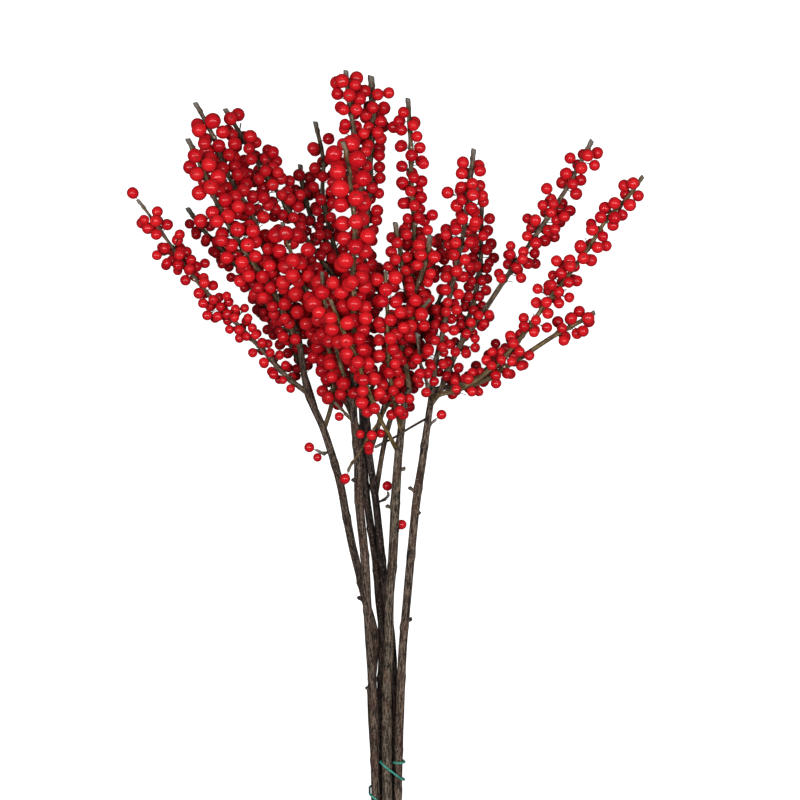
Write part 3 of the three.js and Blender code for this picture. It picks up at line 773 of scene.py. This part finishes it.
def barkLook(name, values):
    look = Look(name)
    look.set("Specular IOR Level", 0.18)
    grain = look.stretch(look.mark("grain", "Vector"), millimetres)
    streaks = look.clouds(look.stretch(grain, (1, 1, 0.13)), 1.0, 4.0, 0.62)
    cracks = look.clouds(look.stretch(grain, (1, 1, 0.20)), 2.0, 3.0, 0.65)
    pores = look.clouds(look.stretch(grain, (1, 1, 0.55)), 0.85, 4.0, 0.7)
    blotches = look.clouds(look.stretch(grain, (1, 1, 0.35)), 0.20, 3.0, 0.55)
    flecks = look.spots(look.stretch(grain, (1, 1, 0.7)), 0.55)
    grit = look.clouds(grain, 3.2, 3.0, 0.7)
    fleckMask = (1 - look.fade(flecks, 0.12, 0.30)) * look.fade(grit, 0.40, 0.52)

    streakMask = look.fade(streaks, 0.40, 0.62)
    ground = look.mix(streakMask, values["dark"], values["light"])
    if "youngLight" in values:
        young = look.mix(streakMask, values["youngDark"], values["youngLight"])
        ground = look.mix(look.mark("young"), ground, young)
    ground = look.mix(look.fade(blotches, 0.50, 0.66) * values["patch"], ground, values["patchColour"])
    ground = look.mix(look.fade(pores, 0.50, 0.62) * values["pore"], ground, values["crackColour"])
    ground = look.mix(look.fade(cracks, 0.56, 0.70) * values["crack"], ground, values["crackColour"])
    ground = look.mix(fleckMask * values["fleck"], ground, values["fleckColour"])
    if "youngLight" in values:
        # painted shade: shoots marked dark, mostly those at the back and low in the bunch, are mixed
        # towards the crack colour
        ground = look.mix(look.mark("dark") * 0.8, ground, values["crackColour"])
        ground = look.mix(look.mark("tip") * 0.75, ground, values["tipColour"])
        ground = look.mix(look.mark("cream"), ground, values["budColour"])

    # the cut ends, which are pale wood inside the bark
    cut = look.mark("cut")
    wood = look.mix(look.fade(look.clouds(grain, 1.6), 0.35, 0.7), values["wood"], values["woodDark"])
    look.set("Base Color", look.mix(look.fade(cut, 0.35, 0.65), ground, wood))
    look.set("Roughness", 0.62 + 0.25 * streaks)
    look.relief(streaks * 0.7 + grit * 0.35 - cracks * 0.5 - pores * 0.4 + fleckMask * 0.35, 0.0004, 0.9)
    return look


def berryLook(values):
    look = Look("berrySkin")
    look.set("Specular IOR Level", values["gloss"])
    look.set("Coat Weight", values["coat"])
    look.set("Coat Roughness", values["coatRoughness"])
    tone = look.mark("tone")
    depth = look.mark("depth")
    place = look.place()
    mottle = look.clouds(place, 0.55, 3.0, 0.55)
    specks = look.clouds(place, 3.5, 2.0, 0.6)
    skin = look.mix(tone, values["bright"], values["deep"])
    skin = look.mix(look.fade(mottle, 0.42, 0.72) * 0.45, skin, values["orange"])
    skin = look.mix(look.fade(specks, 0.60, 0.75) * 0.18, skin, values["speck"])
    # painted shade: berries low in the bunch and under others are mixed towards the darker shaded red
    skin = look.mix(depth, skin, values["shaded"])
    look.set("Base Color", skin)
    look.set("Roughness", values["roughness"] + 0.08 * mottle)
    return look


def plainLook(name, values):
    look = Look(name)
    look.set("Coat Weight", values["coat"])
    mottle = look.clouds(look.place(), values["mottle"], 3.0, 0.6)
    look.set("Base Color", look.mix(look.fade(mottle, 0.35, 0.68), values["first"], values["second"]))
    look.set("Roughness", values["roughness"] + 0.1 * mottle)
    look.relief(mottle, values["relief"], 0.7)
    return look


studioValues = {
    "cameraPlace": (0.0093, 0.080, 1.09),  # straight above the bunch, which lies with its face up
    "lens": 67.5,
    "sensor": 36,
    "world": (1.0, 1.0, 1.0, 1.0),
    "worldStrength": 0.05,
    "stripPlaces": [(-0.50, 0.02, 1.28), (0.56, 0.00, 1.25)],  # a soft light on each side of the camera
    "stripAim": (0.0, 0.08, 0.10),
    "stripSize": (0.20, 1.00),
    "stripPower": 10.5,
    "topPlace": (0.0, 0.35, 1.75),  # a broad soft light overhead
    "topSize": 1.6,
    "topPower": 4.6,
    "floorSize": 3.0,
    "floorColour": (0.50, 0.50, 0.50, 1.0),
    "floorRoughness": 0.9,
    "floorGlow": 1.9,  # keeps the floor white and the soft shadows pale
}


def addCamera(values):
    data = bpy.data.cameras.new("camera")
    data.lens = values["lens"]
    data.sensor_width = values["sensor"]
    camera = bpy.data.objects.new("camera", data)
    camera.location = values["cameraPlace"]
    bpy.context.scene.collection.objects.link(camera)
    bpy.context.scene.camera = camera


def addLight(name, place, aim, size, power):
    data = bpy.data.lights.new(name, "AREA")
    data.shape = "RECTANGLE"
    data.size, data.size_y = size
    data.energy = power
    light = bpy.data.objects.new(name, data)
    light.location = place
    light.rotation_euler = (Vector(aim) - Vector(place)).to_track_quat("-Z", "Y").to_euler()
    bpy.context.scene.collection.objects.link(light)


def addStudio(values):
    world = bpy.data.worlds.new("softWorld")
    world.use_nodes = True
    background = world.node_tree.nodes["Background"]
    background.inputs["Color"].default_value = values["world"]
    background.inputs["Strength"].default_value = values["worldStrength"]
    bpy.context.scene.world = world
    bpy.context.scene.view_settings.view_transform = "Standard"
    for side, place in zip(("left", "right"), values["stripPlaces"]):
        addLight(side + "Light", place, values["stripAim"], values["stripSize"], values["stripPower"])
    topSize = (values["topSize"], values["topSize"])
    addLight("topLight", values["topPlace"], values["stripAim"], topSize, values["topPower"])

    bm = bmesh.new()
    bmesh.ops.create_grid(bm, x_segments=1, y_segments=1, size=values["floorSize"] / 2)
    mesh = bpy.data.meshes.new("floor")
    bm.to_mesh(mesh)
    bm.free()
    floor = bpy.data.objects.new("floor", mesh)
    paint = Look("floorPaint")
    paint.set("Base Color", values["floorColour"])
    paint.set("Roughness", values["floorRoughness"])
    paint.set("Specular IOR Level", 0.0)
    paint.set("Emission Color", values["floorColour"])
    paint.set("Emission Strength", values["floorGlow"])
    mesh.materials.append(paint.material)
    bpy.context.scene.collection.objects.link(floor)
    floor.visible_diffuse = False  # it throws no light back up at the bunch
    floor.visible_glossy = False


addCamera(studioValues)
addStudio(studioValues)
print("studio is ready")

stemValues = {
    "sides": 14,
    "step": 0.003,
    "wander": 0.05,  # slow change of thickness, as a share of the radius
    "ridges": 0.035,
    "firstNode": 0.012,  # from the cut end, and up to nodeSpread more
    "nodeSpread": 0.02,
    "lastNode": 0.02,  # from the top
    "nodePitch": 0.041,
    "pitchLeast": 0.6,  # of the pitch
    "pitchSpread": 0.8,
    "nodeTurn": 2.4,  # radians, from one node to the next
    "swell": 0.0004,
    "swellReach": 0.0024,
    "budLength": 0.0017,
    "budWidth": 0.0011,
    "slants": (0.1, 0.35),  # of the two ends
    "budLean": 0.35,
    "budLift": 0.0001,
    "seedStep": 1.7,
    "tones": {
        "left": {"dark": colour(0.009, 0.006, 0.005), "light": colour(0.144, 0.099, 0.073)},
        "front": {"dark": colour(0.011, 0.007, 0.006), "light": colour(0.189, 0.134, 0.100)},
        "backLeft": {"dark": colour(0.005, 0.003, 0.003), "light": colour(0.076, 0.052, 0.041)},
        "backRight": {"dark": colour(0.005, 0.003, 0.003), "light": colour(0.082, 0.056, 0.048)},
        "centre": {"dark": colour(0.013, 0.010, 0.007), "light": colour(0.212, 0.162, 0.115)},
        "right": {"dark": colour(0.011, 0.007, 0.006), "light": colour(0.212, 0.148, 0.108)},
    },
    "shared": {
        "patch": 0.55, "patchColour": colour(0.085, 0.038, 0.026),
        "crack": 0.85, "pore": 0.70, "crackColour": colour(0.006, 0.004, 0.004),
        "fleck": 0.70, "fleckColour": colour(0.330, 0.275, 0.220),
        "wood": colour(0.55, 0.42, 0.24), "woodDark": colour(0.30, 0.19, 0.10),
    },
}


def stemNodes(name, branch):
    # where the stem swells under an old leaf scar
    values = stemValues
    random = randomFor("stem", name)
    length = Route(branch["route"]).length
    reach = values["firstNode"] + values["nodeSpread"] * random()
    nodes = []
    while reach < length - values["lastNode"]:
        nodes.append((reach, len(nodes) * values["nodeTurn"] + random()))
        reach += values["nodePitch"] * (values["pitchLeast"] + values["pitchSpread"] * random())
    return nodes


# how fast the thickness changes round the wood and along it, and how far apart two seeds are
unevenness = {"slow": (0.5, 22, 7), "fine": (2.4, 120, 5), "oneSided": 0.5}


def woodRadius(radii, length, nodes, values):
    # swells at the nodes, wanders slowly and has fine ridges
    slowAcross, slowAlong, slowSeed = unevenness["slow"]
    fineAcross, fineAlong, fineSeed = unevenness["fine"]

    def radiusAt(share, angle, seed):
        place = share * length
        radius = along(radii, share)
        across = Vector((math.cos(angle), math.sin(angle), 0))
        slow = noise.noise(across * slowAcross + Vector((seed * slowSeed, 0, place * slowAlong)))
        fine = noise.noise(across * fineAcross + Vector((0, seed * fineSeed, place * fineAlong)))
        bulge = sum(values["swell"] * math.exp(-((place - node) / values["swellReach"]) ** 2)
                    * (1 + unevenness["oneSided"] * math.cos(angle - turn)) for node, turn in nodes)
        return radius * (1 + values["wander"] * slow + values["ridges"] * fine) + bulge

    return radiusAt


# the short stubs of twigs cut off a stem, with a collar at the foot and a knob at the end
stubValues = {
    "sides": 9,
    "step": 0.0012,
    "collar": 0.0010,
    "knob": 0.0008,
    "swell": 0.0006,
    "swellReach": 0.0013,
    "wander": 0.08,
    "ridges": 0.06,
    "slants": (0, 0.3),
    "seedStep": 0.3,
}


def growStem(name, branch, look):
    values = stemValues
    route = Route(branch["route"])
    nodes = stemNodes(name, branch)
    bm = bmesh.new()
    radiusAt = woodRadius(branch["radii"], route.length, nodes, values)
    seed = list(branches).index(name) * values["seedStep"] + 1
    growWood(bm, route, radiusAt, values["sides"], values["step"], seed, values["slants"])
    for index, spur in enumerate(branch["spurs"]):
        stub = Route(spur)
        swellings = [(stubValues["collar"], 0), (stub.length - stubValues["knob"], 0)]
        stubRadius = woodRadius(spurRadii, stub.length, swellings, stubValues)
        growWood(bm, stub, stubRadius, stubValues["sides"], stubValues["step"],
                 seed + index + stubValues["seedStep"], stubValues["slants"])
    for reach, turn in nodes:
        share = reach / route.length
        axes = route.frameAt(share)
        way = wayOut(axes, turn)
        foot = route.pointAt(share) + way * (along(branch["radii"], share) + values["budLift"])
        scale = (values["budWidth"] / 2, values["budWidth"] / 2, values["budLength"] / 2)
        stamp(bm, forms["bud"], standUp(foot, way * values["budLean"] + axes[0], scale))
    finishPiece(bm, name + "Stem", look, ["stem_" + name])


twigValues = {
    "sides": 8,
    "step": 0.0022,
    "swell": 0.0005,
    "swellReach": 0.0016,
    "wander": 0.08,
    "ridges": 0.05,
    "slants": (0, 0.30),
    "seedStep": 0.9,
    "tipKnots": [0.0014, 0.0062],  # swellings, measured back from the blunt tip
    "tipLength": 0.007,  # the dry grey end
    "tipFade": 0.7,  # how much less grey the end of a young shoot is
    "turns": 6,  # radians
    "budShare": 0.4,  # of the nodes have small cream buds
    "budSize": 0.0006,
    "budLeast": 0.7,  # of that size
    "budSpread": 0.6,
    "budLength": 1.2,  # of its width
    # how olive and smooth the bark is, for a branch and for single shoots
    "young": {
        "left": 0.15, "front": 0.55, "backLeft": 0.25, "backRight": 0.15, "centre": 0.45, "right": 0.15,
        "centre olive": 1.0, "centre hanging": 0.8, "right outer": 0.65, "backRight olive": 0.7,
        "right crossing": 0.0, "centre inner": 0.8, "left front": 0.6, "left upper": 0.4,
    },
    # how dark it is, the same way: painted shade on the shoots at the back and low in the bunch, and darker
    # bark on some others
    "dark": {
        "left": 0.25, "front": 0.0, "backLeft": 0.5, "backRight": 0.15, "centre": 0.1, "right": 0.1,
        "left spur": 0.6, "left lower": 0.6, "centre spur": 0.7, "right crossing": 0.75,
        "right spur": 0.6, "backRight spur": 0.7, "centre olive": 0.0, "right outer": 0.0,
    },
    "bark": {
        "dark": colour(0.044, 0.028, 0.020), "light": colour(0.230, 0.158, 0.114),
        "youngDark": colour(0.070, 0.042, 0.013), "youngLight": colour(0.255, 0.170, 0.058),
        "patch": 0.35, "patchColour": colour(0.070, 0.044, 0.030),
        "crack": 0.55, "pore": 0.45, "crackColour": colour(0.014, 0.010, 0.007),
        "fleck": 0.65, "fleckColour": colour(0.400, 0.330, 0.230),
        "tipColour": colour(0.240, 0.225, 0.205), "budColour": colour(0.780, 0.680, 0.500),
        "wood": colour(0.28, 0.24, 0.20), "woodDark": colour(0.16, 0.14, 0.12),
    },
}


def sprayNodes(name):
    return ["spray_" + name + "_" + kind for kind in branches[name]["sprays"]]


def growTwigs(name, look):
    values = twigValues
    bm = newMesh("cream")
    random = randomFor("shoots", name)
    for index, twig in enumerate(twigs):
        if twig["branch"] != name:
            continue
        route = twig["route"]
        ends = [(route.length - reach, values["turns"] * random()) for reach in values["tipKnots"]]
        knots = twig["knots"] + ends
        radiusAt = woodRadius(twig["radii"], route.length, knots, values)
        # dark carries painted shade for the shoots at the back and low down
        young, dark = (values[tone].get(name + " " + twig["kind"], values[tone][name])
                       for tone in ("young", "dark"))
        tipShare = values["tipLength"] / route.length

        def tip(share):
            return (1 - values["tipFade"] * young) * max(0.0, 1 - (1 - share) / tipShare)

        growWood(bm, route, radiusAt, values["sides"], values["step"], index * values["seedStep"] + 2,
                 values["slants"], young=young, dark=dark, tip=tip, cream=0.0)
        for reach, turn in twig["knots"]:
            if random() > values["budShare"]:
                continue
            share = reach / route.length
            axes = route.frameAt(share)
            way = wayOut(axes, turn + values["turns"] * random())
            foot = route.pointAt(share) + way * along(twig["radii"], share)
            size = values["budSize"] * (values["budLeast"] + values["budSpread"] * random())
            scale = (size, size, size * values["budLength"])
            stamp(bm, forms["bud"], standUp(foot, way + axes[0], scale), cream=1.0)
    finishPiece(bm, name + "Shoots", look, sprayNodes(name))


skinValues = {
    "bright": colour(0.66, 0.012, 0.018),
    "deep": colour(0.45, 0.003, 0.010),
    "orange": colour(0.72, 0.020, 0.020),
    "speck": colour(0.80, 0.040, 0.040),
    # the darker red that berries are painted towards where shade falls on them
    "shaded": colour(0.34, 0.003, 0.009),
    "gloss": 0.26,
    "coat": 0.04,
    "coatRoughness": 0.08,
    "roughness": 0.12,
    "toneBend": 1.6,  # above 1, more berries are bright than deep
    # painted shade: berries low in the bunch, and under others, are painted darker for the shade that falls
    # on them there
    "topHeight": 0.085,
    "lowShade": 0.7,
    "coverReach": 0.009,
    "coverRise": 0.004,
    "coverShade": 0.10,
    "mostShade": 0.9,
}

berryForm = {
    "sides": 8,
    "outline": [(0, 0.93), (0.50, 0.93), (1.02, 0.50), (1.12, -0.22), (0.66, -0.89), (0, -1.02)],
    "fill": 1.05,  # makes up for what smoothing takes off
    "flattest": 0.94,  # the least height of a berry, as a share of its width
    "rolls": 6.28,  # radians
    "levels": 1,
}

stalkForm = {
    "sides": 5,
    "outline": [(0, 1.0), (2.3, 0.98), (1.9, 0.93), (0.9, 0.80), (0.8, 0.35), (1.6, 0.0), (0, -0.02)],
    "radius": 0.00034,
    "sunk": 0.93,  # of the berry's radius, from its centre to the stalk's end
    "bareOutline": [(0, 1.0), (1.1, 0.99), (0.8, 0.85), (0.75, 0.35), (1.5, 0.0), (0, -0.02)],
    "bareShare": 0.5,  # of the nodes keep the stalks of lost berries
    "bareMost": 3,  # at a node
    "bareTurn": 3,  # from the node's berries, radians
    "bareStep": 0.5,  # between two of them
    "bareLean": 0.3,
    "bareLength": 0.0042,
    "bareLeast": 0.6,  # of that length
    "eyeSides": 6,
    "eyeOutline": [(0, 0.08), (0.12, 0.06), (0.18, -0.04), (0, -0.10)],
    "eyeSeat": 0.92,
    "eyeTilt": 0.9,
    "eyeDroop": 0.72,  # above 0.5, the eyes lean down more often than up
    "look": {
        "first": colour(0.016, 0.009, 0.006), "second": colour(0.045, 0.026, 0.014),
        "mottle": 1.2, "roughness": 0.6, "relief": 0.00005, "coat": 0.0,
    },
}

budForm = {"sides": 6, "outline": [(0, 1.0), (0.55, 0.75), (1.0, 0.0), (0.8, -0.8), (0, -1.0)]}

forms = {
    "berry": spinForm("berryForm", berryForm["outline"], berryForm["sides"]),
    "stalk": spinForm("stalkForm", stalkForm["outline"], stalkForm["sides"]),
    "bareStalk": spinForm("bareStalkForm", stalkForm["bareOutline"], stalkForm["sides"]),
    "eye": spinForm("eyeForm", stalkForm["eyeOutline"], stalkForm["eyeSides"]),
    "bud": spinForm("budForm", budForm["outline"], budForm["sides"]),
}


def shadeOf(centre):
    # painted shade: how much darker a berry is painted, low in the bunch and under other berries, for the
    # shade that falls on it there
    values = skinValues
    aside = np.linalg.norm(bunch.centres[:, :2] - centre[:2], axis=1)
    above = bunch.centres[:, 2] - centre[2]
    cover = np.count_nonzero((aside < values["coverReach"]) & (above > values["coverRise"]))
    depth = max(0.0, 1 - centre[2] / values["topHeight"]) * values["lowShade"]
    return min(values["mostShade"], depth + cover * values["coverShade"])


def addBerry(fruit, stalks, berry, random):
    centre, root, radius = berry["centre"], berry["root"], berry["radius"]
    way = unit(centre - root)
    tilt = np.array([random() - 0.5, random() - 0.5, random() - stalkForm["eyeDroop"]])
    axis = unit(way + tilt * stalkForm["eyeTilt"])
    height = radius * (berryForm["flattest"] + (1 - berryForm["flattest"]) * random())
    wide = radius * berryForm["fill"]
    roll = random() * berryForm["rolls"]
    tone = random() ** skinValues["toneBend"]
    matrix = standUp(centre, axis, (wide, wide, height * berryForm["fill"]), roll)
    # each berry carries how much painted shade it gets
    stamp(fruit, forms["berry"], matrix, tone=tone, depth=shadeOf(centre))
    eye = centre + axis * height * stalkForm["eyeSeat"]
    stamp(stalks, forms["eye"], standUp(eye, axis, (radius, radius, radius), roll))
    thick = stalkForm["radius"]
    length = np.linalg.norm(centre - root) - radius * stalkForm["sunk"]
    stamp(stalks, forms["stalk"], standUp(root, way, (thick, thick, length), roll))


def addBareStalks(stalks, twig, random):
    # some nodes keep the stalks of lost berries
    values = stalkForm
    route = twig["route"]
    for reach, turn in twig["knots"]:
        if random() > values["bareShare"]:
            continue
        share = reach / route.length
        foot, axes = route.pointAt(share), route.frameAt(share)
        for k in range(1 + int(random() * values["bareMost"])):
            angle = turn + values["bareTurn"] + k * values["bareStep"]
            way = wayOut(axes, angle, values["bareLean"] + random())
            length = along(twig["radii"], share) + values["bareLength"] * (values["bareLeast"] + random())
            scale = (values["radius"], values["radius"], length)
            stamp(stalks, forms["bareStalk"], standUp(foot, way, scale))


def growFruit(name, skin, stalkLook):
    # one mesh for a branch's berries, and one for their stalks and the dark eye of each
    mine = {twig["spray"] for twig in twigs if twig["branch"] == name}
    random = randomFor("fruit", name)
    fruit = newMesh("tone", "depth")
    stalks = newMesh()
    for berry in bunch.berries:
        if berry["spray"] in mine:
            addBerry(fruit, stalks, berry, random)
    for twig in twigs:
        if twig["branch"] == name and twig["route"].length >= fillValues["shortest"]:
            addBareStalks(stalks, twig, random)
    finishPiece(fruit, name + "Berries", skin, sprayNodes(name), berryForm["levels"])
    finishPiece(stalks, name + "Stalks", stalkLook, sprayNodes(name))


berrySkin = berryLook(skinValues)
stalkLook = plainLook("stalkSkin", stalkForm["look"])
shootBark = barkLook("shootBark", twigValues["bark"])
for name, branch in branches.items():
    bark = {**stemValues["shared"], **stemValues["tones"][name]}
    growStem(name, branch, barkLook(name + "Bark", bark))
    growTwigs(name, shootBark)
    growFruit(name, berrySkin, stalkLook)
    print(name, "branch is done")

twineValues = {
    "radius": 0.0008,
    "gap": 0.0005,
    "top": -0.1755,
    "fall": 0.58,  # along the stems, for each length that it runs across them
    "fallSwing": 0.38,  # it falls faster over the top of the stems than under them
    "levelTurns": -0.5,
    "step": 0.003,
    "stepsPerTurn": 24,
    "sides": 10,
    "ringStep": 0.0005,
    "marks": 800,  # of its route's length
    "lay": 900,  # radians of twist to the metre
    "thinnest": 0.93,  # between two strands, of the radius
    "strand": 0.07,
    "look": {
        "first": colour(0.012, 0.190, 0.135), "second": colour(0.060, 0.420, 0.320),
        "mottle": 1.0, "roughness": 0.25, "relief": 0.00003, "coat": 0.6,
    },
    "sectionStep": 0.002,  # of a stem's length
    "turns": [
        (["right", "backRight"], 0.42, -0.15),
        (["right", "backRight", "centre"], -0.15, -1.15),
        (list(branches), -1.15, -3.1),
    ],
}


def sectionAt(y):
    section = {}
    for name, branch in branches.items():
        route = Route(branch["route"])
        share = 0.0
        while route.pointAt(share)[1] < y:
            share += twineValues["sectionStep"]
        x, _, z = route.pointAt(share)
        section[name] = (x, z, along(branch["radii"], share))
    return section


def twinePoint(angle, y, held):
    # on the outermost of the held stems, seen from this angle
    section = sectionAt(y)
    x, z, radius = max((section[name] for name in held),
                       key=lambda stem: stem[0] * math.cos(angle) + stem[1] * math.sin(angle) + stem[2])
    distance = radius + twineValues["gap"] + twineValues["radius"]
    return np.array([x + distance * math.cos(angle), y, z + distance * math.sin(angle)])


def growTwine(look):
    values = twineValues
    points = []
    y = values["top"]
    for held, first, last in values["turns"]:
        steps = round((first - last) * values["stepsPerTurn"])
        for i in range(steps):
            turn = first + (last - first) * i / steps
            angle = turn * 2 * math.pi
            if turn < values["levelTurns"]:
                fall = values["fall"] * (1 + values["fallSwing"] * math.sin(angle))
                y -= fall * abs(twinePoint(angle, y, held)[0] - points[-1][0])
            points.append(twinePoint(angle, y, held))
    even = [points[0]]
    for point in points[1:]:
        last = even[-1]
        pieces = round(np.linalg.norm(point - last) / values["step"])
        even.extend(last + (point - last) * k / pieces for k in range(1, pieces + 1))
    route = Route(even, values["marks"])

    def radiusAt(share, angle, seed):
        twist = math.cos(angle - share * route.length * values["lay"])
        return values["radius"] * (values["thinnest"] + values["strand"] * abs(twist))

    bm = bmesh.new()
    growWood(bm, route, radiusAt, values["sides"], values["ringStep"], 0)
    finishPiece(bm, "greenTwine", look, ["twine_tie"])


growTwine(plainLook("twinePlastic", twineValues["look"]))
print("twine is done")
